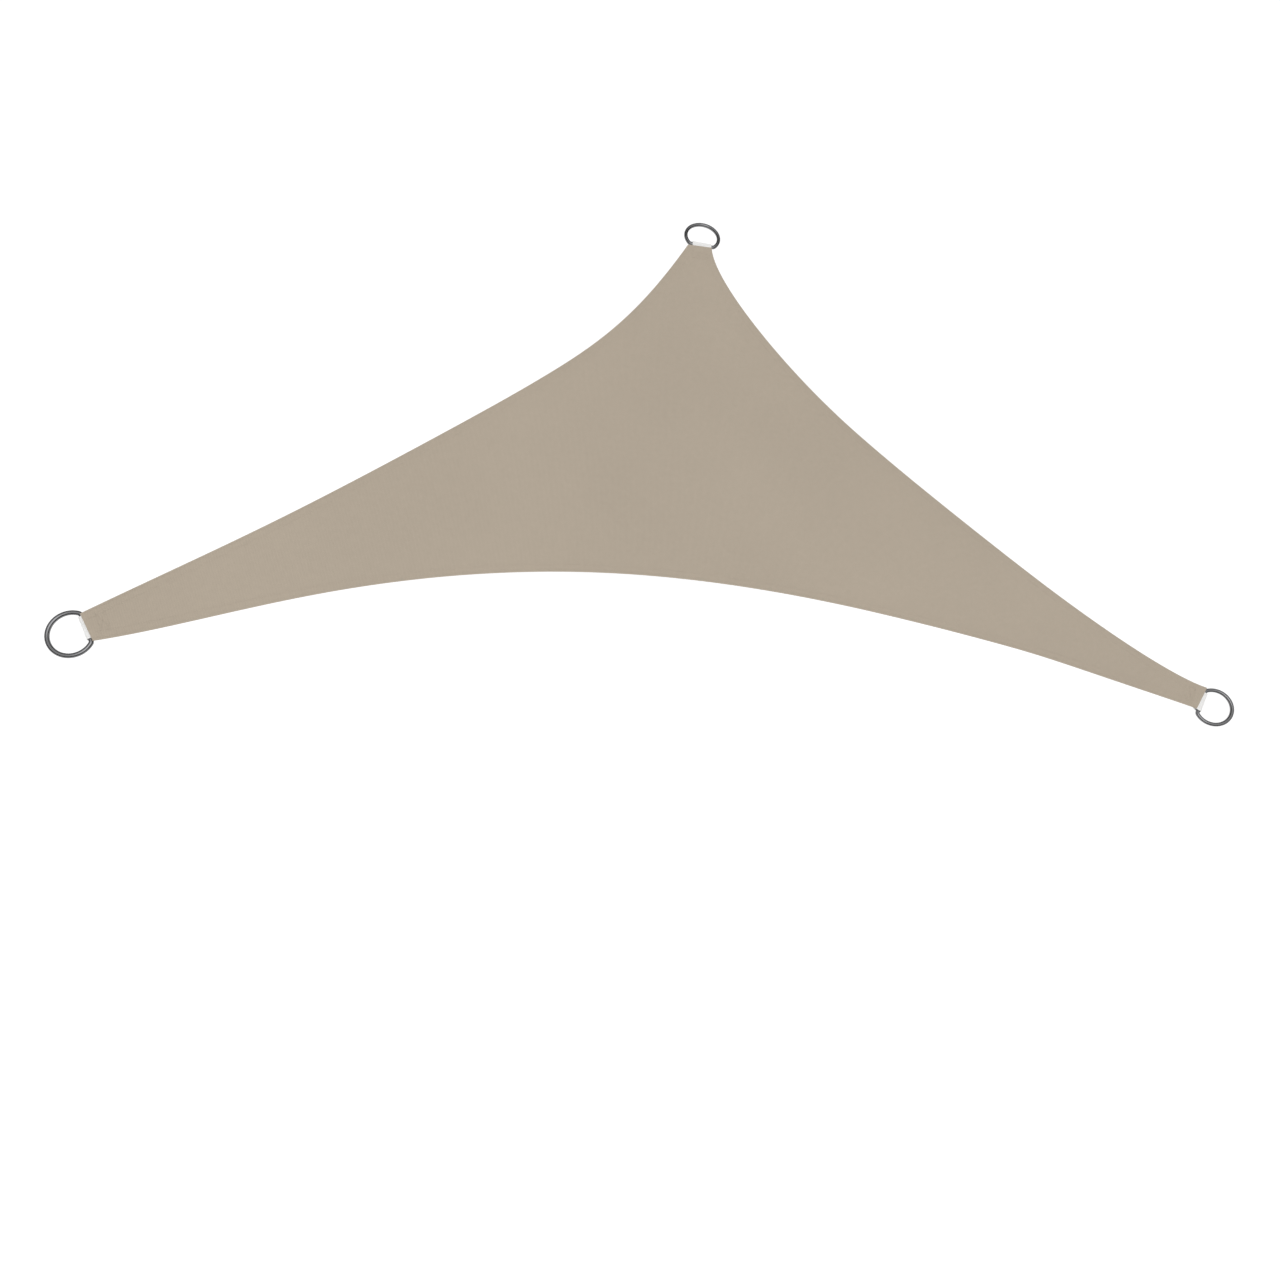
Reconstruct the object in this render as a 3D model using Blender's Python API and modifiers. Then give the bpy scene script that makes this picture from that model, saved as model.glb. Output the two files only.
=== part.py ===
"""Triangular shade sail, stretched level between its three corner rings.

Metres, +Z up. The front side runs along X, and the back corner points to +Y.
The origin is where a hook bears, inside the bow of the back corner's D-ring.
"""
import math

import bmesh
import bpy
from mathutils import Matrix, Vector

# Sail, measured between the middles of the square-cut corner ends.
SHORT_SIDE = 1.800
FRONT_SIDE = 2.680
SAIL_DEPTH = math.sqrt(SHORT_SIDE ** 2 - (FRONT_SIDE / 2) ** 2)
END_WIDTH = 0.066

# Cloth: one layer in the field, folded double in the hem and in the corners.
FIELD_THICKNESS = 0.0012
HEM_THICKNESS = 0.0026
HEM_WIDTH = 0.024
HEM_STEP = 0.003
CORNER_LAYERS_LENGTH = 0.070

# How the stretched cloth hangs: its sag, and how far a corner's twist runs in.
SAG = 0.022
CORNER_FLAT_LENGTH = 0.060
CORNER_TWIST_LENGTH = 0.500
SAG_RISE_LENGTH = 0.900

# D-ring, bent from round bar: a straight bar, two bends and a round bow.
RING_WIRE = 0.010
RING_BOW_RADIUS = 0.046
RING_BEND_RADIUS = 0.009
RING_BAR_LENGTH = 0.058

# Webbing loop: one strip wrapped round the ring's bar, its legs under the cloth.
WEBBING_WIDTH = 0.052
WEBBING_THICKNESS = 0.0016
WEBBING_LEG_LENGTH = 0.045
WEBBING_SPLAY_LENGTH = 0.026
BAR_CLEARANCE = 0.00045
LAYER_GAP = 0.00033

# Mesh steps.
ROWS_PER_CORNER = 18
END_ROWS = 6
FIELD_COLUMNS = 8
HEM_COLUMNS = 2
ROW_CROWDING = 1.25
EDGE_SAMPLES = 240
JOIN_DISTANCE = 0.00001
BOW_STEPS = 28
BEND_STEPS = 5
WIRE_ROUNDING = 3
LOOP_STEPS = 10
SPLAY_STEPS = 5

# Surfaces: linear colour, roughness and how metallic.
SURFACES = {
    "taupe_cloth": {"colour": (0.434, 0.371, 0.296), "roughness": 0.85, "metallic": 0.0},
    "pale_webbing": {"colour": (0.90, 0.89, 0.87), "roughness": 0.75, "metallic": 0.0},
    "steel": {"colour": (0.21, 0.21, 0.215), "roughness": 0.32, "metallic": 1.0},
}

# Corners. x and y place the middle of the cloth's end, a few millimetres off the plain
# triangle where the pull has drawn it. yaw turns that square end in the sail's plane and
# twist tips it about the line of pull. turn swivels loop and ring together in the cloth's
# plane, slide shifts both along the cloth's end, reach is how far out from that end the
# ring's bar lies, and swing tips the ring about its bar. Degrees and metres.
CORNERS = {
    "left": {"x": -FRONT_SIDE / 2 - 0.0030, "y": -SAIL_DEPTH - 0.0012,
             "yaw": 9.1, "twist": -2.0,
             "turn": -3.1, "swing": 8.0, "slide": -0.0022, "reach": 0.0018},
    "back": {"x": 0.0004, "y": 0.0037, "yaw": -2.2, "twist": -4.0,
             "turn": -3.3, "swing": 6.0, "slide": -0.006, "reach": 0.0113},
    "right": {"x": FRONT_SIDE / 2 - 0.0021, "y": -SAIL_DEPTH + 0.0014,
              "yaw": -10.4, "twist": 10.0,
              "turn": 5.4, "swing": -13.0, "slide": -0.0063, "reach": 0.0076},
}

# Hollow-cut edges. Each is one smooth curve that leaves its first corner at the
# angle leave and meets its last at the angle arrive, both measured inwards from the
# straight line between them. hold_first and hold_last are how far it keeps to those
# angles, as shares of that line. swell draws the curve inwards by small waves of one,
# two and three half turns along the edge, each with its own height in metres.
EDGES = [
    {"first": "left", "last": "back",
     "leave": 4.2, "arrive": 21.5, "hold_first": 0.640, "hold_last": 0.320,
     "swell": (-0.0086, 0.0138, 0.0025)},
    {"first": "back", "last": "right",
     "leave": 42.6, "arrive": 26.1, "hold_first": 0.154, "hold_last": 0.165,
     "swell": (0.0011, 0.0104, 0.0070)},
    {"first": "right", "last": "left",
     "leave": 17.4, "arrive": 13.1, "hold_first": 0.646, "hold_last": 0.167,
     "swell": (0.0034, -0.0066, 0.0005)},
]

UP = Vector((0.0, 0.0, 1.0))


def remove_scene_objects():
    for obj in list(bpy.data.objects):
        bpy.data.objects.remove(obj, do_unlink=True)


def new_collection(name):
    collection = bpy.data.collections.new(name)
    bpy.context.scene.collection.children.link(collection)
    return collection


def new_material(name):
    surface = SURFACES[name]
    material = bpy.data.materials.new(name)
    material.use_nodes = True
    shader = material.node_tree.nodes["Principled BSDF"]
    shader.inputs["Base Color"].default_value = (*surface["colour"], 1.0)
    shader.inputs["Roughness"].default_value = surface["roughness"]
    shader.inputs["Metallic"].default_value = surface["metallic"]
    return material


def add_object(name, data, material, collection):
    obj = bpy.data.objects.new(name, data)
    data.materials.append(material)
    collection.objects.link(obj)
    return obj


def smooth_step(value, low, high):
    share = min(max((value - low) / (high - low), 0.0), 1.0)
    return share * share * (3.0 - 2.0 * share)


# Corner frames, in the sail's own plane with the back corner's end at zero.

def corner_point(name):
    return Vector((CORNERS[name]["x"], CORNERS[name]["y"], 0.0))


def pull_direction(name):
    """The way the ring pulls: outwards on the corner's bisector, turned by its yaw."""
    here = corner_point(name)
    inwards = sum(((corner_point(other) - here).normalized()
                   for other in CORNERS if other != name), Vector())
    turn = Matrix.Rotation(math.radians(CORNERS[name]["yaw"]), 3, "Z")
    return turn @ -inwards.normalized()


def corner_frame(name):
    """X along the pull, Y across the cloth's end, Z out of the cloth's upper face."""
    pull = pull_direction(name)
    twist = Matrix.Rotation(math.radians(CORNERS[name]["twist"]), 3, pull)
    across = twist @ UP.cross(pull)
    normal = pull.cross(across)
    turn = Matrix((pull, across, normal)).transposed().to_4x4()
    return Matrix.Translation(corner_point(name)) @ turn


def bar_depth():
    """How far the ring's bar lies under the middle of the cloth's thickness."""
    upper_leg = HEM_THICKNESS / 2 + LAYER_GAP + WEBBING_THICKNESS / 2
    return upper_leg + loop_radius()


def loop_radius():
    return RING_WIRE / 2 + BAR_CLEARANCE + WEBBING_THICKNESS / 2


def bow_centre():
    """The bow's centre, out from the bar, so that bow and bends meet smoothly."""
    reach = RING_BOW_RADIUS - RING_BEND_RADIUS
    return RING_BEND_RADIUS + math.sqrt(reach ** 2 - (RING_BAR_LENGTH / 2) ** 2)


def loop_frame(name):
    corner = CORNERS[name]
    turn = Matrix.Rotation(math.radians(corner["turn"]), 4, "Z")
    return corner_frame(name) @ turn @ Matrix.Translation((0.0, corner["slide"], 0.0))


def ring_frame(name):
    seat = Matrix.Translation((CORNERS[name]["reach"], 0.0, -bar_depth()))
    swing = Matrix.Rotation(math.radians(CORNERS[name]["swing"]), 4, "Y")
    return loop_frame(name) @ seat @ swing


def ring_eye(name):
    """Where a hook bears: the middle of the bow's inner side."""
    reach = bow_centre() + RING_BOW_RADIUS - RING_WIRE / 2
    return ring_frame(name) @ Vector((reach, 0.0, 0.0))


TO_ORIGIN = Matrix.Translation(-ring_eye("back"))


# The cloth's shape.

def surface_height(point):
    """Height of the stretched cloth over its plane: corner twists less the sag."""
    sag = SAG
    twisted = 0.0
    for name, corner in CORNERS.items():
        offset = point - corner_point(name)
        pull = pull_direction(name)
        sag *= smooth_step(offset.length, CORNER_FLAT_LENGTH, SAG_RISE_LENGTH)
        fade = 1.0 - smooth_step(-offset.dot(pull), CORNER_FLAT_LENGTH, CORNER_TWIST_LENGTH)
        twisted += math.tan(math.radians(corner["twist"])) * offset.dot(UP.cross(pull)) * fade
    return twisted - sag


def on_surface(point):
    return Vector((point.x, point.y, surface_height(point)))


def end_point(name, side):
    """One end of the corner's square cut, seen from above. side is +1 or -1."""
    half_width = END_WIDTH / 2 * math.cos(math.radians(CORNERS[name]["twist"]))
    return corner_point(name) + UP.cross(pull_direction(name)) * half_width * side


def length_run(points):
    run = [0.0]
    for before, after in zip(points, points[1:]):
        run.append(run[-1] + (after - before).length)
    return run


def swelled(points, heights):
    """The same curve drawn inwards by its small waves."""
    run = length_run(points)
    moved = [points[0]]
    for index in range(1, len(points) - 1):
        tangent = (points[index + 1] - points[index - 1]).normalized()
        share = run[index] / run[-1]
        depth = sum(height * math.sin(math.pi * halves * share)
                    for halves, height in enumerate(heights, 1))
        moved.append(points[index] + tangent.cross(UP) * depth)
    return moved + [points[-1]]


def edge_curve(edge):
    """Sampled curve of one hollow edge, with the length run at each sample."""
    first = end_point(edge["first"], -1)
    last = end_point(edge["last"], +1)
    chord = last - first
    along = chord.normalized()
    inwards = along.cross(UP)
    leave, arrive = math.radians(edge["leave"]), math.radians(edge["arrive"])
    hold_first = edge["hold_first"] * chord.length
    hold_last = edge["hold_last"] * chord.length
    guide_first = first + (along * math.cos(leave) + inwards * math.sin(leave)) * hold_first
    guide_last = last - (along * math.cos(arrive) - inwards * math.sin(arrive)) * hold_last
    points = []
    for step in range(EDGE_SAMPLES + 1):
        t = step / EDGE_SAMPLES
        points.append(first * (1 - t) ** 3 + guide_first * 3 * t * (1 - t) ** 2
                      + guide_last * 3 * t * t * (1 - t) + last * t ** 3)
    points = swelled(points, edge["swell"])
    return points, length_run(points)


def edge_point(curve, share):
    """Point and inward direction at a share of the edge's length."""
    points, run = curve
    target = share * run[-1]
    index = 1
    while index < EDGE_SAMPLES and run[index] < target:
        index += 1
    part = (target - run[index - 1]) / (run[index] - run[index - 1])
    tangent = (points[index] - points[index - 1]).normalized()
    return points[index - 1].lerp(points[index], part), tangent.cross(UP)


def hem_lines(name, curve, starts_here):
    """Edge, hem line and field line of half an edge, row by row from the corner."""
    end_inwards = UP.cross(pull_direction(name)) * (1.0 if starts_here else -1.0)
    rows = []
    for row in range(ROWS_PER_CORNER + 1):
        share = 0.5 * (row / ROWS_PER_CORNER) ** ROW_CROWDING
        point, inwards = edge_point(curve, share if starts_here else 1.0 - share)
        blend = smooth_step(row, 0, END_ROWS)
        lean = end_inwards.lerp(inwards, blend).normalized()
        unit = lean / lean.dot(inwards)
        rows.append([point, point + unit * HEM_WIDTH, point + unit * (HEM_WIDTH + HEM_STEP)])
    return rows


def corner_patch(name, curves, centre):
    """Rows of points from the corner's end to the middle of the sail."""
    leaving = next(c for e, c in zip(EDGES, curves) if e["first"] == name)
    arriving = next(c for e, c in zip(EDGES, curves) if e["last"] == name)
    left = hem_lines(name, leaving, True)
    right = hem_lines(name, arriving, False)
    rows = []
    for row in range(ROWS_PER_CORNER + 1):
        v = row / ROWS_PER_CORNER
        field = []
        for column in range(1, FIELD_COLUMNS):
            u = column / FIELD_COLUMNS
            end_line = left[0][2].lerp(right[0][2], u)
            if u < 0.5:
                middle_line = left[-1][2].lerp(centre, 2 * u)
            else:
                middle_line = centre.lerp(right[-1][2], 2 * u - 1)
            sides = left[row][2].lerp(right[row][2], u)
            ends = end_line.lerp(middle_line, v)
            corners = end_line.lerp(left[-1][2].lerp(right[-1][2], u), v)
            field.append(sides + ends - corners)
        rows.append(left[row] + field + right[row][::-1])
    return [[on_surface(point) for point in line] for line in rows]


def build_cloth(material, collection):
    """Mid-surface in three patches, one to a corner, then given its thickness."""
    curves = [edge_curve(edge) for edge in EDGES]
    middles = [edge_point(curve, 0.5)[0] for curve in curves]
    centre = sum(middles, Vector()) / len(middles)
    columns = FIELD_COLUMNS + 2 * HEM_COLUMNS
    bm = bmesh.new()
    hem_weight = bm.verts.layers.deform.verify()
    for name in CORNERS:
        rows = corner_patch(name, curves, centre)
        grid = bmesh.ops.create_grid(bm, x_segments=columns, y_segments=ROWS_PER_CORNER, size=0.5)
        for vert in grid["verts"]:
            column = round((vert.co.x + 0.5) * columns)
            row = round((vert.co.y + 0.5) * ROWS_PER_CORNER)
            vert.co = rows[row][column]
            in_hem = min(column, columns - column) < HEM_COLUMNS
            from_end = (vert.co - corner_point(name)).length
            if in_hem or from_end < CORNER_LAYERS_LENGTH:
                vert[hem_weight][0] = 1.0
    bmesh.ops.remove_doubles(bm, verts=bm.verts, dist=JOIN_DISTANCE)
    bmesh.ops.recalc_face_normals(bm, faces=bm.faces)
    bmesh.ops.transform(bm, matrix=TO_ORIGIN, verts=bm.verts)
    mesh = bpy.data.meshes.new("sail_cloth")
    bm.to_mesh(mesh)
    bm.free()
    cloth = add_object("sail_cloth", mesh, material, collection)
    cloth.vertex_groups.new(name="hem")
    layers = cloth.modifiers.new("layers", "SOLIDIFY")
    layers.thickness = HEM_THICKNESS
    layers.offset = 0.0
    layers.vertex_group = "hem"
    layers.thickness_vertex_group = FIELD_THICKNESS / HEM_THICKNESS
    return cloth


def webbing_path(reach):
    """Side view of the strip's middle: upper leg, turn round the bar, lower leg."""
    radius = loop_radius()
    depth = bar_depth()
    upper = radius - depth
    lower = upper - WEBBING_THICKNESS - LAYER_GAP
    path = [Vector((-WEBBING_LEG_LENGTH, upper)), Vector((-WEBBING_SPLAY_LENGTH, upper))]
    for step in range(LOOP_STEPS + 1):
        angle = math.pi / 2 - math.pi * step / LOOP_STEPS
        path.append(Vector((reach + radius * math.cos(angle),
                            radius * math.sin(angle) - depth)))
    last = path[-1]
    for step in range(1, SPLAY_STEPS + 1):
        share = step / SPLAY_STEPS
        height = last.y + (lower - last.y) * smooth_step(share, 0.0, 1.0)
        path.append(Vector((last.x - WEBBING_SPLAY_LENGTH * share, height)))
    path.append(Vector((-WEBBING_LEG_LENGTH, lower)))
    return path


def build_webbing(name, material, collection):
    path = webbing_path(CORNERS[name]["reach"])
    bm = bmesh.new()
    grid = bmesh.ops.create_grid(bm, x_segments=len(path) - 1, y_segments=1, size=0.5)
    for vert in grid["verts"]:
        station = path[round((vert.co.x + 0.5) * (len(path) - 1))]
        vert.co = Vector((station.x, vert.co.y * WEBBING_WIDTH, station.y))
    mesh = bpy.data.meshes.new("webbing_loop_" + name)
    bm.to_mesh(mesh)
    bm.free()
    webbing = add_object(mesh.name, mesh, material, collection)
    webbing.matrix_world = TO_ORIGIN @ loop_frame(name)
    strip = webbing.modifiers.new("strip", "SOLIDIFY")
    strip.thickness = WEBBING_THICKNESS
    strip.offset = 0.0
    strip.use_even_offset = True
    return webbing


def ring_outline():
    """Closed line of the wire's middle: half a bar, a bend, the bow, and back."""
    half_bar = RING_BAR_LENGTH / 2
    centre = bow_centre()
    join = math.atan2(RING_BEND_RADIUS - centre, half_bar)
    bend = []
    for step in range(BEND_STEPS + 1):
        angle = -math.pi / 2 + (join + math.pi / 2) * step / BEND_STEPS
        bend.append((RING_BEND_RADIUS * (1 + math.sin(angle)),
                     half_bar + RING_BEND_RADIUS * math.cos(angle)))
    bow = []
    for step in range(1, BOW_STEPS):
        angle = join + (math.pi - 2 * join) * step / BOW_STEPS
        bow.append((centre + RING_BOW_RADIUS * math.sin(angle),
                    RING_BOW_RADIUS * math.cos(angle)))
    return bend + bow + [(x, -y) for x, y in reversed(bend)]


def build_ring(name, material, collection):
    outline = ring_outline()
    curve = bpy.data.curves.new("d_ring_" + name, "CURVE")
    curve.dimensions = "3D"
    curve.bevel_depth = RING_WIRE / 2
    curve.bevel_resolution = WIRE_ROUNDING
    spline = curve.splines.new("POLY")
    spline.points.add(len(outline) - 1)
    for point, (x, y) in zip(spline.points, outline):
        point.co = (x, y, 0.0, 1.0)
    spline.use_cyclic_u = True
    spline.use_smooth = True
    ring = add_object(curve.name, curve, material, collection)
    ring.matrix_world = TO_ORIGIN @ ring_frame(name)
    return ring


def build_sail():
    remove_scene_objects()
    collection = new_collection("shade_sail")
    pale_webbing = new_material("pale_webbing")
    steel = new_material("steel")
    build_cloth(new_material("taupe_cloth"), collection)
    for name in CORNERS:
        build_webbing(name, pale_webbing, collection)
        build_ring(name, steel, collection)


build_sail()
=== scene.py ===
import math

import bmesh
import bpy
from mathutils import Matrix, Vector


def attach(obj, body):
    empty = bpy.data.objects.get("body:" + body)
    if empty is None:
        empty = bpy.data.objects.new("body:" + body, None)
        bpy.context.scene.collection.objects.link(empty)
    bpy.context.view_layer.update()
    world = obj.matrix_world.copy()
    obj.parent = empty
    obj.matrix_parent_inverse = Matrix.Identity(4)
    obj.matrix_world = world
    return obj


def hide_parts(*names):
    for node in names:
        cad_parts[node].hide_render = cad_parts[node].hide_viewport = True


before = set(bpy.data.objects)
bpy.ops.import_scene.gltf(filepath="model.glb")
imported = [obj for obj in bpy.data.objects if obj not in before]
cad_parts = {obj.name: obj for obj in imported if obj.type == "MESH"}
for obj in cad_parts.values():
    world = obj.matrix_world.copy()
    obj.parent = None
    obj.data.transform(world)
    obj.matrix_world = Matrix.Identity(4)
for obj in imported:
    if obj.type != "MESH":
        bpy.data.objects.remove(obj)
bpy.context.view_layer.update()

# Camera.
# It stands in front of the sail and well above it, and looks down at it at 67 degrees.

VIEW_PLACE = Vector((-0.66845, -1.98827, 2.16252))
VIEW_RIGHT = Vector((0.975974, -0.003223, 0.217862))
VIEW_UP = Vector((-0.067696, 0.945920, 0.317259))
LENS = 28.125
SENSOR = 36.0
NEAR_CLIP = 0.01
FAR_CLIP = 200.0

camera_data = bpy.data.cameras.new("camera")
camera_data.lens = LENS
camera_data.sensor_width = SENSOR
camera_data.clip_start = NEAR_CLIP
camera_data.clip_end = FAR_CLIP
camera = bpy.data.objects.new("camera", camera_data)
bpy.context.scene.collection.objects.link(camera)
view_turn = Matrix((VIEW_RIGHT, VIEW_UP, VIEW_RIGHT.cross(VIEW_UP))).transposed().to_4x4()
camera.matrix_world = Matrix.Translation(VIEW_PLACE) @ view_turn
bpy.context.scene.camera = camera

# Floor and studio light.
# A wide pale floor well under the hung sail, an even white surround, and one large
# soft lamp over the front left, so that the cloth and the steel are gently modelled.

FLOOR_BELOW = 2.2
FLOOR_SIZE = 400.0
FLOOR_COLOUR = (0.93, 0.93, 0.93, 1.0)
FLOOR_GLOW = (1.0, 1.0, 1.0, 1.0)
FLOOR_GLOW_STRENGTH = 0.22
SURROUND_STRENGTH = 0.84
BACKDROP_STRENGTH = 1.0
CARD_TOP = 0.45
CARD_FADE = 0.25
LAMP_POWER = 70.0
LAMP_SIZE = 4.0
LAMP_PLACE = Vector((-0.9, -2.4, 5.0))
LAMP_AIM = Vector((0.0, -0.8, 0.0))


def new_finish(name):
    """A new material and its Principled shader."""
    finish = bpy.data.materials.new(name)
    finish.use_nodes = True
    return finish, finish.node_tree.nodes["Principled BSDF"]


def finish_piece(name, shape):
    """Smooth a finished shape and put it in the scene as a piece of that name."""
    for face in shape.faces:
        face.smooth = True
    mesh = bpy.data.meshes.new(name)
    shape.to_mesh(mesh)
    shape.free()
    piece = bpy.data.objects.new(name, mesh)
    bpy.context.scene.collection.objects.link(piece)
    return piece


floor_shape = bmesh.new()
bmesh.ops.create_grid(floor_shape, x_segments=1, y_segments=1, size=FLOOR_SIZE / 2)
bmesh.ops.translate(floor_shape, verts=floor_shape.verts, vec=(0, 0, -FLOOR_BELOW))
floor = finish_piece("floor", floor_shape)
floor_paint, paint = new_finish("floor_paint")
paint.inputs["Base Color"].default_value = FLOOR_COLOUR
paint.inputs["Roughness"].default_value = 0.9
paint.inputs["Emission Color"].default_value = FLOOR_GLOW
paint.inputs["Emission Strength"].default_value = FLOOR_GLOW_STRENGTH
floor.data.materials.append(floor_paint)

# Black cards stand round the set at the height of the sail. Only the steel mirrors them,
# and the backdrop itself is white.
surround = bpy.data.worlds.new("surround")
surround.use_nodes = True
tree = surround.node_tree
sky = tree.nodes["Background"]
around = tree.nodes.new("ShaderNodeTexCoord")
heights = tree.nodes.new("ShaderNodeSeparateXYZ")
tree.links.new(around.outputs["Generated"], heights.inputs["Vector"])
cards = tree.nodes.new("ShaderNodeMapRange")
cards.interpolation_type = "SMOOTHSTEP"
cards.inputs["From Min"].default_value = CARD_TOP
cards.inputs["From Max"].default_value = CARD_TOP + CARD_FADE
tree.links.new(heights.outputs["Z"], cards.inputs["Value"])
ray = tree.nodes.new("ShaderNodeLightPath")
mirrored = tree.nodes.new("ShaderNodeMix")
mirrored.data_type = "FLOAT"
mirrored.inputs["A"].default_value = 1.0
tree.links.new(ray.outputs["Is Glossy Ray"], mirrored.inputs["Factor"])
tree.links.new(cards.outputs["Result"], mirrored.inputs["B"])
tree.links.new(mirrored.outputs["Result"], sky.inputs["Color"])
backdrop = tree.nodes.new("ShaderNodeMix")
backdrop.data_type = "FLOAT"
backdrop.inputs["A"].default_value = SURROUND_STRENGTH
backdrop.inputs["B"].default_value = BACKDROP_STRENGTH
tree.links.new(ray.outputs["Is Camera Ray"], backdrop.inputs["Factor"])
tree.links.new(backdrop.outputs["Result"], sky.inputs["Strength"])
bpy.context.scene.world = surround
bpy.context.scene.view_settings.view_transform = "Standard"

lamp_data = bpy.data.lights.new("soft_lamp", "AREA")
lamp_data.energy = LAMP_POWER
lamp_data.size = LAMP_SIZE
lamp = bpy.data.objects.new("soft_lamp", lamp_data)
lamp.location = LAMP_PLACE
lamp.rotation_mode = "QUATERNION"
lamp.rotation_quaternion = (LAMP_AIM - LAMP_PLACE).to_track_quat("-Z", "Y")
bpy.context.scene.collection.objects.link(lamp)

# Sail cloth.
# One triangle of knitted shade cloth with hollow-cut edges, each edge folded under and
# sewn down as a hem. It is stretched from its corners and sags a little in between.

SHORT_SIDE = 1.800
FRONT_SIDE = 2.680
SAIL_DEPTH = math.sqrt(SHORT_SIDE ** 2 - (FRONT_SIDE / 2) ** 2)
END_WIDTH = 0.066
FIELD_THICKNESS = 0.0012
HEM_THICKNESS = 0.0026
HEM_WIDTH = 0.024
HEM_SHARES = (0.25, 0.6, 1.0)
HEM_STEP = 0.0010
FOLD_RADIUS = HEM_THICKNESS / 2
FOLD_SHARES = (0.012, 0.12, 0.35, 0.65, 1.0)
CORNER_LAYERS_LENGTH = 0.070
SAG = 0.022
CORNER_FLAT_LENGTH = 0.060
CORNER_TWIST_LENGTH = 0.500
SAG_RISE_LENGTH = 0.900
OPEN_ROWS = 84
END_ROWS = 34
FIELD_COLUMNS = 24
ROW_CROWDING = 1.25
EDGE_SAMPLES = 600
JOIN_DISTANCE = 0.000004
UP = Vector((0.0, 0.0, 1.0))

# x and y place the middle of the cloth's end. yaw turns that end in the sail's plane and
# twist tips it about the line of pull. turn swivels the loop and ring together, slide
# shifts both along the cloth's end, reach is how far out from that end the ring's bar
# lies, and swing tips the ring about its bar. Degrees and metres.
CORNERS = {
    "left": {"x": -FRONT_SIDE / 2 - 0.0030, "y": -SAIL_DEPTH - 0.0012,
             "yaw": 9.1, "twist": -2.0, "turn": -3.1, "swing": 8.0,
             "slide": -0.0022, "reach": 0.0018},
    "back": {"x": 0.0004, "y": 0.0037,
             "yaw": -2.2, "twist": -4.0, "turn": -3.3, "swing": 6.0,
             "slide": -0.0060, "reach": 0.0113},
    "right": {"x": FRONT_SIDE / 2 - 0.0021, "y": -SAIL_DEPTH + 0.0014,
              "yaw": -10.4, "twist": 10.0, "turn": 5.4, "swing": -13.0,
              "slide": -0.0063, "reach": 0.0076},
}
# An edge leaves its first corner at the angle leave and meets its last at the angle
# arrive, both measured inwards from the straight line between them. hold_first and
# hold_last are how far it keeps to those angles, as shares of that line. swell draws it
# inwards by waves of one, two and three half turns, each with its own height in metres.
EDGES = [
    {"first": "left", "last": "back",
     "leave": 4.2, "arrive": 21.5, "hold_first": 0.640, "hold_last": 0.320,
     "swell": (-0.0086, 0.0138, 0.0025)},
    {"first": "back", "last": "right",
     "leave": 42.6, "arrive": 26.1, "hold_first": 0.154, "hold_last": 0.165,
     "swell": (0.0011, 0.0104, 0.0070)},
    {"first": "right", "last": "left",
     "leave": 17.4, "arrive": 13.1, "hold_first": 0.646, "hold_last": 0.167,
     "swell": (0.0034, -0.0066, 0.0005)},
]


def smooth_step(value, low, high):
    share = min(max((value - low) / (high - low), 0.0), 1.0)
    return share * share * (3.0 - 2.0 * share)


def corner_point(name):
    return Vector((CORNERS[name]["x"], CORNERS[name]["y"], 0.0))


def pull_direction(name):
    """Outwards from the sail, between the corner's two sides and turned by its yaw."""
    here = corner_point(name)
    inwards = sum(((corner_point(other) - here).normalized()
                   for other in CORNERS if other != name), Vector())
    turn = Matrix.Rotation(math.radians(CORNERS[name]["yaw"]), 3, "Z")
    return turn @ -inwards.normalized()


PULLS = {name: pull_direction(name) for name in CORNERS}
ACROSS = {name: UP.cross(PULLS[name]) for name in CORNERS}


def corner_frame(name):
    """X along the pull, Y across the cloth's end, Z out of the upper face."""
    pull = PULLS[name]
    twist = Matrix.Rotation(math.radians(CORNERS[name]["twist"]), 3, pull)
    across = twist @ ACROSS[name]
    turn = Matrix((pull, across, pull.cross(across))).transposed().to_4x4()
    return Matrix.Translation(corner_point(name)) @ turn


def surface_height(point):
    """Height of the cloth's middle: its sag, and the twist that fades in from each end."""
    sag = SAG
    twisted = 0.0
    for name, corner in CORNERS.items():
        offset = point - corner_point(name)
        sag *= smooth_step(offset.length, CORNER_FLAT_LENGTH, SAG_RISE_LENGTH)
        fade = 1.0 - smooth_step(-offset.dot(PULLS[name]), CORNER_FLAT_LENGTH,
                                 CORNER_TWIST_LENGTH)
        twisted += math.tan(math.radians(corner["twist"])) * offset.dot(ACROSS[name]) * fade
    return twisted - sag


def on_surface(point, height):
    return Vector((point.x, point.y, surface_height(point) + height))


def end_point(name, side):
    half_width = END_WIDTH / 2 * math.cos(math.radians(CORNERS[name]["twist"]))
    return corner_point(name) + ACROSS[name] * half_width * side


def length_run(points):
    """The length of the line up to each of its points."""
    run = [0.0]
    for before, after in zip(points, points[1:]):
        run.append(run[-1] + (after - before).length)
    return run


def swelled(points, heights):
    """The line drawn sideways by waves of one, two and more half turns."""
    run = length_run(points)
    moved = [points[0]]
    for index in range(1, len(points) - 1):
        tangent = (points[index + 1] - points[index - 1]).normalized()
        share = run[index] / run[-1]
        depth = sum(height * math.sin(math.pi * halves * share)
                    for halves, height in enumerate(heights, 1))
        moved.append(points[index] + tangent.cross(UP) * depth)
    return moved + [points[-1]]


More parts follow.
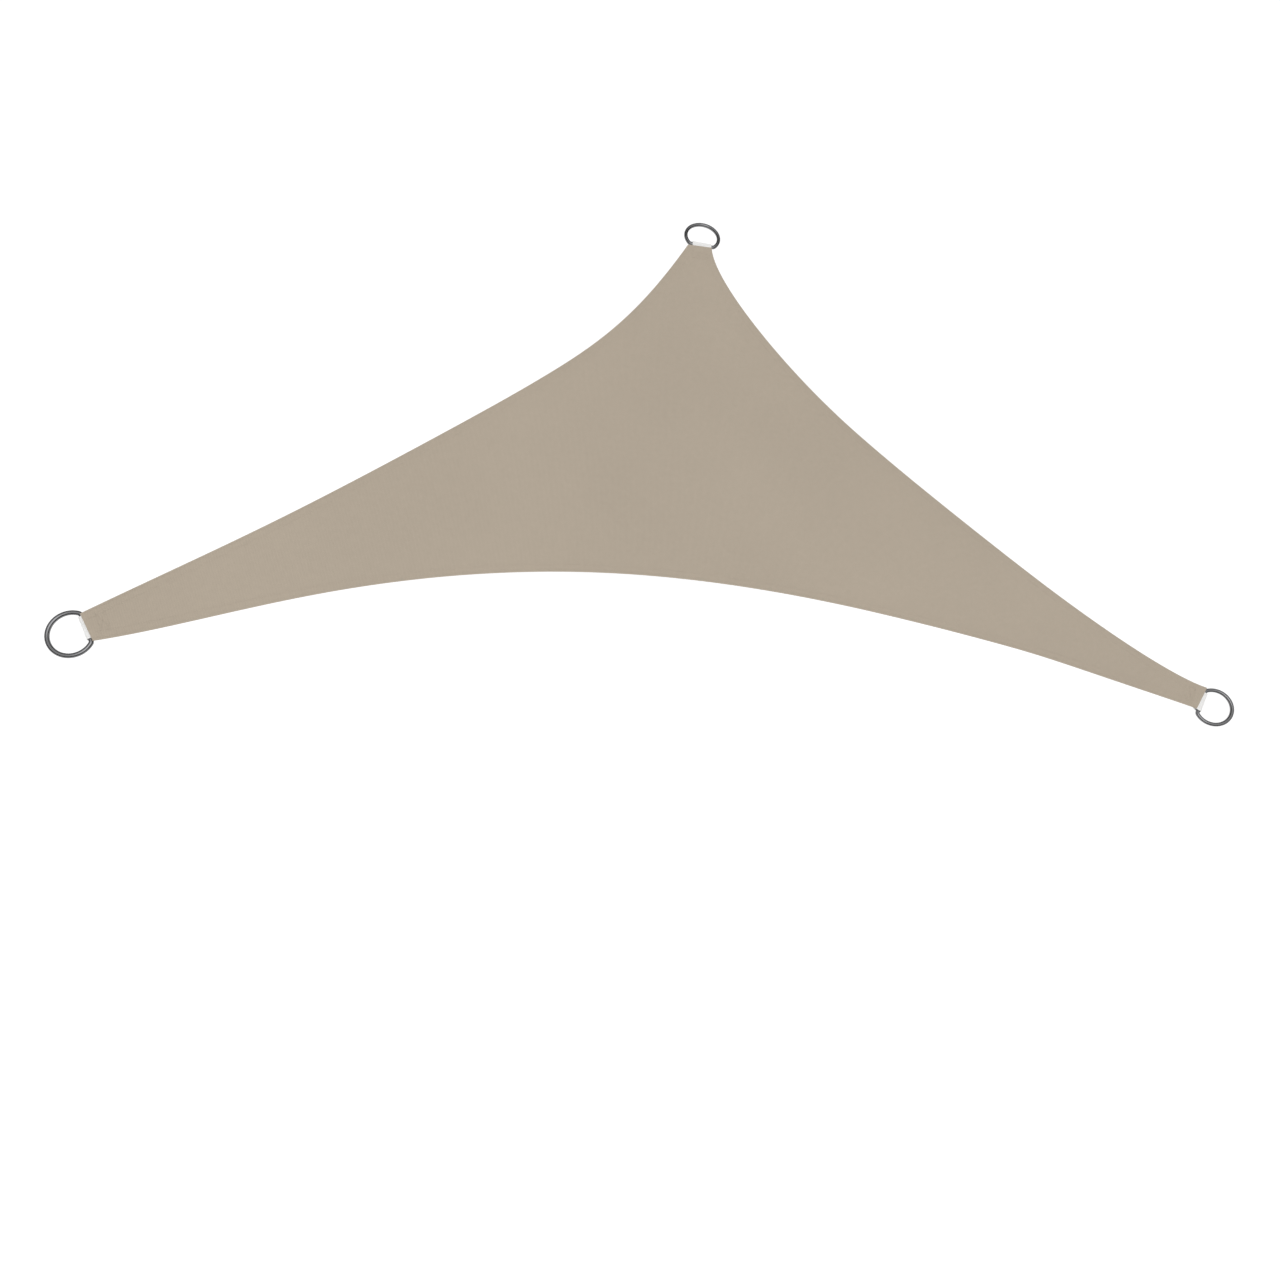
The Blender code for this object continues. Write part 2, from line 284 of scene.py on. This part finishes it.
def edge_curve(edge):
    """An edge's outer line, as its points and their run."""
    first = end_point(edge["first"], -1)
    last = end_point(edge["last"], +1)
    chord = last - first
    along = chord.normalized()
    inwards = along.cross(UP)
    leave, arrive = math.radians(edge["leave"]), math.radians(edge["arrive"])
    guide_first = first + (along * math.cos(leave) + inwards * math.sin(leave)) * (
        edge["hold_first"] * chord.length)
    guide_last = last - (along * math.cos(arrive) - inwards * math.sin(arrive)) * (
        edge["hold_last"] * chord.length)
    points = []
    for step in range(EDGE_SAMPLES + 1):
        t = step / EDGE_SAMPLES
        points.append(first * (1 - t) ** 3 + guide_first * 3 * t * (1 - t) ** 2
                      + guide_last * 3 * t * t * (1 - t) + last * t ** 3)
    points = swelled(points, edge["swell"])
    return points, length_run(points)


def edge_point(curve, run_length):
    """The point that far along an edge, and the way inwards from it."""
    points, run = curve
    index = 1
    while index < EDGE_SAMPLES and run[index] < run_length:
        index += 1
    part = (run_length - run[index - 1]) / (run[index] - run[index - 1])
    tangent = (points[index] - points[index - 1]).normalized()
    return points[index - 1].lerp(points[index], part), tangent.cross(UP)


edge_curves = [edge_curve(edge) for edge in EDGES]
edge_middles = [edge_point(curve, curve[1][-1] / 2)[0] for curve in edge_curves]
sail_centre = sum(edge_middles, Vector()) / len(edge_middles)
# Distances inwards from the edge: the rounded fold, the hem's body, its inner edge
# and the step up to the single layer.
HEM_LINES = [share * FOLD_RADIUS for share in FOLD_SHARES]
HEM_LINES += [share * HEM_WIDTH for share in HEM_SHARES] + [HEM_WIDTH + HEM_STEP]
ROW_COUNT = len(FOLD_SHARES) + OPEN_ROWS
COLUMN_COUNT = FIELD_COLUMNS + 2 * (len(HEM_LINES) - 1)


def row_distance(row, half_length):
    """How far a row lies from the cloth's end, on an edge half_length to its middle."""
    if row < len(FOLD_SHARES):
        return FOLD_SHARES[row] * FOLD_RADIUS
    share = ((row + 1 - len(FOLD_SHARES)) / (OPEN_ROWS + 1)) ** ROW_CROWDING
    return FOLD_RADIUS + (half_length - FOLD_RADIUS) * share


def fold_height(distance):
    """Half the thickness of the rounded fold, this far in from its outer line."""
    inside = min(distance, FOLD_RADIUS)
    return math.sqrt(FOLD_RADIUS ** 2 - (FOLD_RADIUS - inside) ** 2)


def hem_rows(name, curve, starts_here):
    """The hem's points, row by row from a corner to the middle of one of its edges."""
    end_inwards = ACROSS[name] * (1.0 if starts_here else -1.0)
    half_length = curve[1][-1] / 2
    rows = []
    for row in range(ROW_COUNT + 1):
        run = row_distance(row, half_length)
        point, inwards = edge_point(curve, run if starts_here else 2 * half_length - run)
        squared = smooth_step(row, len(FOLD_SHARES), END_ROWS)
        lean = end_inwards.lerp(inwards, squared).normalized()
        unit = lean / lean.dot(inwards)
        rows.append([point + unit * step for step in HEM_LINES])
    return rows


def corner_patch(name):
    """A third of the cloth in rows, from a corner's end to the middle of the sail."""
    leaving = next(c for e, c in zip(EDGES, edge_curves) if e["first"] == name)
    arriving = next(c for e, c in zip(EDGES, edge_curves) if e["last"] == name)
    left = hem_rows(name, leaving, True)
    right = hem_rows(name, arriving, False)
    rows = []
    for row in range(ROW_COUNT + 1):
        v = row_distance(row, 1.0) ** (1.0 / ROW_CROWDING)
        field = []
        for column in range(1, FIELD_COLUMNS):
            u = column / FIELD_COLUMNS
            end_line = left[0][-1].lerp(right[0][-1], u)
            if u < 0.5:
                middle_line = left[-1][-1].lerp(sail_centre, 2 * u)
            else:
                middle_line = sail_centre.lerp(right[-1][-1], 2 * u - 1)
            sides = left[row][-1].lerp(right[row][-1], u)
            ends = end_line.lerp(middle_line, v)
            corners = end_line.lerp(left[-1][-1].lerp(right[-1][-1], u), v)
            field.append(sides + ends - corners)
        rows.append(left[row] + field + right[row][::-1])
    return rows


# The hook's point in the back ring is the origin, as in the frame. That ring's place
# comes from the sizes of the rings and of the webbing, given here.
RING_WIRE = 0.010
RING_BOW_RADIUS = 0.046
RING_BEND_RADIUS = 0.009
RING_BAR_LENGTH = 0.058
WEBBING_THICKNESS = 0.0016
BAR_CLEARANCE = 0.00045
LAYER_GAP = 0.00033
LOOP_RADIUS = RING_WIRE / 2 + BAR_CLEARANCE + WEBBING_THICKNESS / 2
BAR_DEPTH = HEM_THICKNESS / 2 + LAYER_GAP + WEBBING_THICKNESS / 2 + LOOP_RADIUS
BOW_CENTRE = RING_BEND_RADIUS + math.sqrt(
    (RING_BOW_RADIUS - RING_BEND_RADIUS) ** 2 - (RING_BAR_LENGTH / 2) ** 2)


def loop_frame(name):
    """The corner's frame, swivelled and slid along with its loop."""
    turn = Matrix.Rotation(math.radians(CORNERS[name]["turn"]), 4, "Z")
    slide = Matrix.Translation((0.0, CORNERS[name]["slide"], 0.0))
    return corner_frame(name) @ turn @ slide


def ring_frame(name):
    """X from the ring's bar to its bow, Y along the bar, at the middle of the bar."""
    seat = Matrix.Translation((CORNERS[name]["reach"], 0.0, -BAR_DEPTH))
    swing = Matrix.Rotation(math.radians(CORNERS[name]["swing"]), 4, "Y")
    return loop_frame(name) @ seat @ swing


HOOK_POINT = Vector((BOW_CENTRE + RING_BOW_RADIUS - RING_WIRE / 2, 0.0, 0.0))
TO_ORIGIN = Matrix.Translation(-(ring_frame("back") @ HOOK_POINT))

# The upper face: a flat grid of one metre for each corner, whose points go to their
# places in the rows and also carry how thick the cloth is under them.
cloth_shape = bmesh.new()
fold_weight = cloth_shape.verts.layers.deform.verify()
for name in CORNERS:
    rows = corner_patch(name)
    patch = bmesh.ops.create_grid(cloth_shape, x_segments=COLUMN_COUNT,
                                  y_segments=ROW_COUNT, size=0.5)
    for vert in patch["verts"]:
        column = round((vert.co.x + 0.5) * COLUMN_COUNT)
        row = round((vert.co.y + 0.5) * ROW_COUNT)
        point = rows[row][column]
        from_side = min(column, COLUMN_COUNT - column)
        half = fold_height(row_distance(row, 1.0))
        if from_side < len(HEM_LINES):
            half = min(half, fold_height(HEM_LINES[from_side]))
        in_hem = from_side < len(HEM_LINES) - 1
        in_corner = (point - corner_point(name)).length < CORNER_LAYERS_LENGTH
        thickness = 2 * half if in_hem or in_corner else FIELD_THICKNESS
        vert[fold_weight][0] = thickness / HEM_THICKNESS
        vert.co = on_surface(point, half)
bmesh.ops.remove_doubles(cloth_shape, verts=cloth_shape.verts, dist=JOIN_DISTANCE)
bmesh.ops.recalc_face_normals(cloth_shape, faces=cloth_shape.faces)
bmesh.ops.transform(cloth_shape, matrix=TO_ORIGIN, verts=cloth_shape.verts)
shade_cloth = finish_piece("shade_cloth", cloth_shape)
shade_cloth.vertex_groups.new(name="layers")
layers = shade_cloth.modifiers.new("layers", "SOLIDIFY")
layers.thickness = HEM_THICKNESS
layers.offset = -1.0
layers.vertex_group = "layers"
layers.thickness_vertex_group = 0.0

# The knit: upright chains of looped yarn, with flat tapes laid between them.
KNIT_WALE = 0.0030
KNIT_COURSE = 0.0022
KNIT_RELIEF = 0.0006
CHAIN_STEEPNESS = 4.0
LOOP_DEPTH = 0.45
TAPE_LEAN = 1.6
TAPE_HEIGHT = 0.6
# The cloth's own colour, and a darker colour for its random tone and for the painted shade
# in the knit's hollows.
CLOTH_COLOUR = (0.533, 0.454, 0.359, 1.0)
CLOTH_TONE_AND_PAINTED_SHADE = (0.320, 0.272, 0.215, 1.0)
KNIT_PAINTED_SHADE_SHARE = 0.85
TONE_IN_CLOTH = 0.38


def add_math(tree, operation, first, second=None, third=None):
    """A Math node fed by sockets or plain numbers. Gives its output socket."""
    node = tree.nodes.new("ShaderNodeMath")
    node.operation = operation
    for socket, value in zip(node.inputs, (first, second, third)):
        if isinstance(value, bpy.types.NodeSocket):
            tree.links.new(value, socket)
        elif value is not None:
            socket.default_value = value
    return node.outputs["Value"]


# Uneven tone: broad soft clouds of weathering with a finer mottle over them.
CLOUD_SHARE = 0.6
uneven_tone = bpy.data.node_groups.new("uneven_tone", "ShaderNodeTree")
for label, way, kind in (("Place", "INPUT", "NodeSocketVector"),
                         ("Clouds", "INPUT", "NodeSocketFloat"),
                         ("Mottle", "INPUT", "NodeSocketFloat"),
                         ("Tone", "OUTPUT", "NodeSocketFloat")):
    uneven_tone.interface.new_socket(label, in_out=way, socket_type=kind)
tone_in = uneven_tone.nodes.new("NodeGroupInput")
tone_out = uneven_tone.nodes.new("NodeGroupOutput")
patterns = []
for label, detail in (("Clouds", 3.0), ("Mottle", 2.0)):
    noise = uneven_tone.nodes.new("ShaderNodeTexNoise")
    noise.inputs["Detail"].default_value = detail
    uneven_tone.links.new(tone_in.outputs["Place"], noise.inputs["Vector"])
    uneven_tone.links.new(tone_in.outputs[label], noise.inputs["Scale"])
    patterns.append(noise.outputs["Fac"])
mixed_tone = add_math(uneven_tone, "MULTIPLY_ADD", patterns[0], CLOUD_SHARE,
                      add_math(uneven_tone, "MULTIPLY", patterns[1], 1.0 - CLOUD_SHARE))
uneven_tone.links.new(mixed_tone, tone_out.inputs["Tone"])


def add_tone(tree, place, clouds, mottle):
    """The uneven tone at a place, with the scales of its clouds and its mottle."""
    node = tree.nodes.new("ShaderNodeGroup")
    node.node_tree = uneven_tone
    node.inputs["Clouds"].default_value = clouds
    node.inputs["Mottle"].default_value = mottle
    tree.links.new(place, node.inputs["Place"])
    return node.outputs["Tone"]


def colour_between(tree, shader, share, dark, light):
    """Colour a finish somewhere between two colours, as the share says."""
    colour = tree.nodes.new("ShaderNodeMix")
    colour.data_type = "RGBA"
    colour.inputs["A"].default_value = dark
    colour.inputs["B"].default_value = light
    tree.links.new(share, colour.inputs["Factor"])
    tree.links.new(colour.outputs["Result"], shader.inputs["Base Color"])


def raise_relief(tree, shader, height, strength, distance):
    """Let a finish stand up in low relief, as high as the distance."""
    relief = tree.nodes.new("ShaderNodeBump")
    relief.inputs["Strength"].default_value = strength
    relief.inputs["Distance"].default_value = distance
    tree.links.new(height, relief.inputs["Height"])
    tree.links.new(relief.outputs["Normal"], shader.inputs["Normal"])


knit, yarn = new_finish("taupe_knit")
tree = knit.node_tree
yarn.inputs["Roughness"].default_value = 0.82
yarn.inputs["Specular IOR Level"].default_value = 0.3
yarn.inputs["Sheen Weight"].default_value = 0.10
yarn.inputs["Sheen Roughness"].default_value = 0.5
place = tree.nodes.new("ShaderNodeTexCoord")
axes = tree.nodes.new("ShaderNodeSeparateXYZ")
tree.links.new(place.outputs["Object"], axes.inputs["Vector"])
wale = add_math(tree, "DIVIDE", axes.outputs["X"], KNIT_WALE)
course = add_math(tree, "DIVIDE", axes.outputs["Y"], KNIT_COURSE)
# How far from the middle of its chain, 0 to 0.5 of the spacing.
off_chain = add_math(tree, "PINGPONG", wale, 0.5)
loop_wave = add_math(tree, "ABSOLUTE", add_math(tree, "SINE", add_math(
    tree, "MULTIPLY", add_math(tree, "ADD", course, off_chain), math.pi)))
chain_body = add_math(tree, "SUBTRACT", 1.0, add_math(
    tree, "MULTIPLY", off_chain, CHAIN_STEEPNESS))
chain = add_math(tree, "MAXIMUM", add_math(tree, "MULTIPLY", chain_body, add_math(
    tree, "MULTIPLY_ADD", loop_wave, LOOP_DEPTH, 1.0 - LOOP_DEPTH)), 0.0)
# The tapes lean away from every chain and meet half way to the next one.
tape_wave = add_math(tree, "SINE", add_math(tree, "MULTIPLY", add_math(
    tree, "SUBTRACT", course, add_math(tree, "MULTIPLY", off_chain, TAPE_LEAN)), math.pi))
tape = add_math(tree, "MULTIPLY", add_math(tree, "ABSOLUTE", tape_wave), TAPE_HEIGHT)
knit_height = add_math(tree, "MAXIMUM", chain, tape)
tone = add_tone(tree, place.outputs["Object"], clouds=2.5, mottle=90.0)
# Painted shade: the cloth is coloured darker where the knit lies low, in the hollows
# between the chains and the tapes, with the random uneven tone mixed in.
knit_painted_shade_and_tone = add_math(tree, "MULTIPLY_ADD", knit_height, KNIT_PAINTED_SHADE_SHARE,
                      add_math(tree, "MULTIPLY", tone, TONE_IN_CLOTH))
colour_between(tree, yarn, knit_painted_shade_and_tone, CLOTH_TONE_AND_PAINTED_SHADE, CLOTH_COLOUR)
raise_relief(tree, yarn, knit_height, strength=0.8, distance=KNIT_RELIEF)
shade_cloth.data.materials.append(knit)
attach(shade_cloth, "root")
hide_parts("sail_cloth")

# Webbing loops.
# A short strip of pale woven webbing at each corner, wrapped round the ring's straight
# bar. Both of its legs lie under the cloth's end and are sewn to it.

WEBBING_WIDTH = 0.052
WEBBING_LEG_LENGTH = 0.045
WEBBING_SPLAY_LENGTH = 0.026
WEBBING_ROUNDING = 0.0005
ROUNDING_STEPS = 3
ROUNDING_ANGLE = math.radians(60)
LOOP_STEPS = 28
SPLAY_STEPS = 14
LEG_STEPS = 6
STRIP_COLUMNS = 8
UPPER_LEG = LOOP_RADIUS - BAR_DEPTH
LOWER_LEG = UPPER_LEG - WEBBING_THICKNESS - LAYER_GAP


def webbing_path(reach):
    """Side view of the strip's middle: upper leg, turn round the bar, lower leg."""
    path = []
    for step in range(LEG_STEPS):
        path.append(Vector((-WEBBING_LEG_LENGTH * (1 - step / LEG_STEPS), UPPER_LEG)))
    for step in range(LOOP_STEPS + 1):
        angle = math.pi / 2 - math.pi * step / LOOP_STEPS
        path.append(Vector((reach + LOOP_RADIUS * math.cos(angle),
                            LOOP_RADIUS * math.sin(angle) - BAR_DEPTH)))
    last = path[-1]
    for step in range(1, SPLAY_STEPS + 1):
        share = step / SPLAY_STEPS
        height = last.y + (LOWER_LEG - last.y) * smooth_step(share, 0.0, 1.0)
        path.append(Vector((last.x - WEBBING_SPLAY_LENGTH * share, height)))
    path.append(Vector((-WEBBING_LEG_LENGTH, LOWER_LEG)))
    return path


# The weave: twill ribs that turn back at the middle of the strip, fine picks across
# them, and a thicker plain selvedge along each side.
WEAVE_RIB = 0.0021
WEAVE_PICK = 0.0012
WEAVE_RELIEF = 0.0005
WEAVE_MIDDLE = 0.5
RIB_HEIGHT = 0.35
PICK_HEIGHT = 0.15
PICK_LEAN = 3.0
SELVEDGE_WIDTH = 0.0022
SELVEDGE_HEIGHT = 0.3
# The webbing's own colour, and a darker colour for its random tone and for the painted
# shade in the weave's grooves.
WEBBING_TONE_AND_PAINTED_SHADE = (0.83, 0.825, 0.81, 1.0)
WEBBING_COLOUR = (0.985, 0.98, 0.97, 1.0)
WEAVE_PAINTED_SHADE_SHARE = 0.6
TONE_IN_WEBBING = 0.5

webbing_weave, strap = new_finish("pale_webbing")
tree = webbing_weave.node_tree
strap.inputs["Roughness"].default_value = 0.7
strap.inputs["Sheen Weight"].default_value = 0.15
strap.inputs["Sheen Roughness"].default_value = 0.4
along_strip = tree.nodes.new("ShaderNodeUVMap")
along_strip.uv_map = "strip"
axes = tree.nodes.new("ShaderNodeSeparateXYZ")
tree.links.new(along_strip.outputs["UV"], axes.inputs["Vector"])
across = add_math(tree, "ABSOLUTE", axes.outputs["Y"])
rib = add_math(tree, "SINE", add_math(tree, "MULTIPLY", add_math(
    tree, "ADD", axes.outputs["X"], across), math.tau / WEAVE_RIB))
pick = add_math(tree, "SINE", add_math(tree, "MULTIPLY", add_math(
    tree, "SUBTRACT", axes.outputs["X"], add_math(tree, "MULTIPLY", across, PICK_LEAN)),
    math.tau / WEAVE_PICK))
selvedge = add_math(tree, "GREATER_THAN", across, WEBBING_WIDTH / 2 - SELVEDGE_WIDTH)
weave_height = add_math(tree, "MULTIPLY_ADD", rib, RIB_HEIGHT, add_math(
    tree, "MULTIPLY_ADD", pick, PICK_HEIGHT, WEAVE_MIDDLE))
weave_height = add_math(tree, "MULTIPLY_ADD", selvedge, SELVEDGE_HEIGHT, weave_height)
tone = add_tone(tree, along_strip.outputs["UV"], clouds=40.0, mottle=600.0)
# Painted shade: the webbing is coloured darker where the weave lies low, in the grooves
# between its ribs and picks, with the random uneven tone mixed in.
weave_painted_shade_and_tone = add_math(tree, "MULTIPLY_ADD", weave_height, WEAVE_PAINTED_SHADE_SHARE,
                       add_math(tree, "MULTIPLY", tone, TONE_IN_WEBBING))
colour_between(tree, strap, weave_painted_shade_and_tone, WEBBING_TONE_AND_PAINTED_SHADE, WEBBING_COLOUR)
raise_relief(tree, strap, weave_height, strength=0.8, distance=WEAVE_RELIEF)

for name in CORNERS:
    webbing_line = webbing_path(CORNERS[name]["reach"])
    webbing_run = length_run(webbing_line)
    segments = len(webbing_line) - 1
    strip = bmesh.new()
    strip_uv = strip.loops.layers.uv.new("strip")
    bmesh.ops.create_grid(strip, x_segments=segments, y_segments=STRIP_COLUMNS, size=0.5)
    for face in strip.faces:
        for loop in face.loops:
            station = round((loop.vert.co.x + 0.5) * segments)
            loop[strip_uv].uv = (webbing_run[station], loop.vert.co.y * WEBBING_WIDTH)
    for vert in strip.verts:
        station = webbing_line[round((vert.co.x + 0.5) * segments)]
        vert.co = Vector((station.x, vert.co.y * WEBBING_WIDTH, station.y))
    bmesh.ops.transform(strip, matrix=TO_ORIGIN @ loop_frame(name), verts=strip.verts)
    webbing = finish_piece("webbing_" + name, strip)
    webbing.data.materials.append(webbing_weave)
    body = webbing.modifiers.new("body", "SOLIDIFY")
    body.thickness = WEBBING_THICKNESS
    body.offset = 0.0
    body.use_even_offset = True
    rounded = webbing.modifiers.new("rounded", "BEVEL")
    rounded.width = WEBBING_ROUNDING
    rounded.segments = ROUNDING_STEPS
    rounded.limit_method = "ANGLE"
    rounded.angle_limit = ROUNDING_ANGLE
    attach(webbing, "root")
    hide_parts("webbing_loop_" + name)

# D-rings.
# A ring of round steel bar at each corner: one straight bar inside the webbing, two
# tight bends and a wide bow, bent to shape, closed by a weld and polished.

WIRE_SIDES = 28
BAR_STEPS = 4
BEND_STEPS = 12
BOW_STEPS = 72
WELD_DISTANCE = 0.00002
STEEL_SHADE = (0.14, 0.14, 0.144, 1.0)
STEEL_COLOUR = (0.28, 0.28, 0.286, 1.0)
STEEL_SMOOTHEST = 0.12
STEEL_UNEVENNESS = 0.22
STEEL_RELIEF = 0.0001

steel, metal = new_finish("satin_steel")
tree = steel.node_tree
metal.inputs["Metallic"].default_value = 1.0
place = tree.nodes.new("ShaderNodeTexCoord")
tone = add_tone(tree, place.outputs["Object"], clouds=45.0, mottle=900.0)
colour_between(tree, metal, tone, STEEL_SHADE, STEEL_COLOUR)
tree.links.new(add_math(tree, "MULTIPLY_ADD", tone, STEEL_UNEVENNESS, STEEL_SMOOTHEST),
               metal.inputs["Roughness"])
raise_relief(tree, metal, tone, strength=0.15, distance=STEEL_RELIEF)

HALF_BAR = RING_BAR_LENGTH / 2
JOIN_ANGLE = math.atan2(RING_BEND_RADIUS - BOW_CENTRE, HALF_BAR)
BEND_TURN = math.pi / 2 + JOIN_ANGLE
BOW_TURN = math.pi - 2 * JOIN_ANGLE
# The bar's bends in order: a turn of so many radians about its centre, or a straight run.
RING_BENDS = [
    {"centre": (0, 0), "turn": 0.0, "run": HALF_BAR, "steps": BAR_STEPS},
    {"centre": (RING_BEND_RADIUS, HALF_BAR), "turn": BEND_TURN, "run": 0.0,
     "steps": BEND_STEPS},
    {"centre": (BOW_CENTRE, 0), "turn": BOW_TURN, "run": 0.0, "steps": BOW_STEPS},
    {"centre": (RING_BEND_RADIUS, -HALF_BAR), "turn": BEND_TURN, "run": 0.0,
     "steps": BEND_STEPS},
    {"centre": (0, 0), "turn": 0.0, "run": HALF_BAR, "steps": BAR_STEPS},
]

for name in CORNERS:
    bar = bmesh.new()
    bmesh.ops.create_circle(bar, segments=WIRE_SIDES, radius=RING_WIRE / 2,
                            matrix=Matrix.Rotation(math.radians(90), 4, "X"))
    tip = list(bar.edges)
    for bend in RING_BENDS:
        swept = bmesh.ops.spin(bar, geom=tip, cent=(*bend["centre"], 0.0),
                               axis=(0, 0, -1), dvec=(0, bend["run"] / bend["steps"], 0),
                               angle=bend["turn"], steps=bend["steps"], use_merge=False,
                               use_normal_flip=False, use_duplicate=False)
        tip = [item for item in swept["geom_last"] if isinstance(item, bmesh.types.BMEdge)]
    bmesh.ops.remove_doubles(bar, verts=bar.verts, dist=WELD_DISTANCE)
    bmesh.ops.recalc_face_normals(bar, faces=bar.faces)
    bmesh.ops.transform(bar, matrix=TO_ORIGIN @ ring_frame(name), verts=bar.verts)
    ring = finish_piece("steel_ring_" + name, bar)
    ring.data.materials.append(steel)
    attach(ring, "root")
    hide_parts("d_ring_" + name)

# Stitching.
# Two rows of lock stitch hold each hem down, and a crossed box of it sews the webbing's
# legs to each corner. It is bonded polyester thread in the cloth's own colour.

STITCH_PITCH = 0.0045
STITCH_GAP = 0.0007
STITCH_SIDES = 6
STITCH_BANDS = 4
THREAD = 0.00065
THREAD_SINK = 0.00012
THREAD_RELIEF = 0.0001
THREAD_SHADE = (0.41, 0.352, 0.28, 1.0)
THREAD_COLOUR = (0.52, 0.448, 0.36, 1.0)
HEM_ROWS = (0.005, 0.019)
ROW_END = 0.006
BOX_NEAR = -0.0235
BOX_FAR = -0.0425
BOX_HALF = 0.021

thread, filament = new_finish("taupe_thread")
tree = thread.node_tree
filament.inputs["Roughness"].default_value = 0.55
filament.inputs["Sheen Weight"].default_value = 0.2
place = tree.nodes.new("ShaderNodeTexCoord")
tone = add_tone(tree, place.outputs["Object"], clouds=30.0, mottle=2500.0)
colour_between(tree, filament, tone, THREAD_SHADE, THREAD_COLOUR)
raise_relief(tree, filament, tone, strength=0.5, distance=THREAD_RELIEF)

# One stitch, a rounded grain of thread a metre long before it is scaled to its place.
grain_shape = bmesh.new()
bmesh.ops.create_uvsphere(grain_shape, u_segments=STITCH_SIDES, v_segments=STITCH_BANDS,
                          radius=0.5)
grain = bpy.data.meshes.new("grain")
grain_shape.to_mesh(grain)
grain_shape.free()
grain_points = [0.0] * (3 * len(grain.vertices))
grain.vertices.foreach_get("co", grain_points)


def sew_row(shape, stations):
    """A stitch from each station to the next."""
    for here, there in zip(stations, stations[1:]):
        along = there - here
        turn = along.to_track_quat("Z", "Y").to_matrix().to_4x4()
        size = Matrix.Diagonal((THREAD, THREAD, along.length - STITCH_GAP, 1.0))
        grain.vertices.foreach_set("co", grain_points)
        grain.transform(Matrix.Translation((here + there) / 2) @ turn @ size)
        shape.from_mesh(grain)


def finish_stitching(name, shape):
    """Put a row of stitches in the scene, in its place and in thread."""
    bmesh.ops.transform(shape, matrix=TO_ORIGIN, verts=shape.verts)
    stitches = finish_piece(name, shape)
    stitches.data.materials.append(thread)
    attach(stitches, "root")
    return stitches


face_height = HEM_THICKNESS / 2 + THREAD / 2 - THREAD_SINK
for edge, curve in zip(EDGES, edge_curves):
    seam = bmesh.new()
    run_length = curve[1][-1] - 2 * ROW_END
    count = round(run_length / STITCH_PITCH)
    for inset in HEM_ROWS:
        for height in (face_height, -face_height):
            stations = []
            for step in range(count + 1):
                point, inwards = edge_point(curve, ROW_END + run_length * step / count)
                stations.append(on_surface(point + inwards * inset, height))
            sew_row(seam, stations)
    seam_name = "hem_stitches_" + edge["first"] + "_" + edge["last"]
    finish_stitching(seam_name, seam)

box_corners = [Vector((x, y, 0.0)) for x, y in (
    (BOX_FAR, -BOX_HALF), (BOX_FAR, BOX_HALF), (BOX_NEAR, BOX_HALF), (BOX_NEAR, -BOX_HALF))]
box_lines = [(box_corners[index - 1], box_corners[index]) for index in range(4)]
box_lines += [(box_corners[0], box_corners[2]), (box_corners[1], box_corners[3])]
under_height = LOWER_LEG - WEBBING_THICKNESS / 2 - THREAD / 2 + THREAD_SINK
for name in CORNERS:
    box = bmesh.new()
    for start, stop in box_lines:
        count = round((stop - start).length / STITCH_PITCH)
        for height in (face_height, under_height):
            sew_row(box, [loop_frame(name) @ (start.lerp(stop, step / count) + UP * height)
                          for step in range(count + 1)])
    finish_stitching("corner_stitches_" + name, box)

bpy.data.meshes.remove(grain)
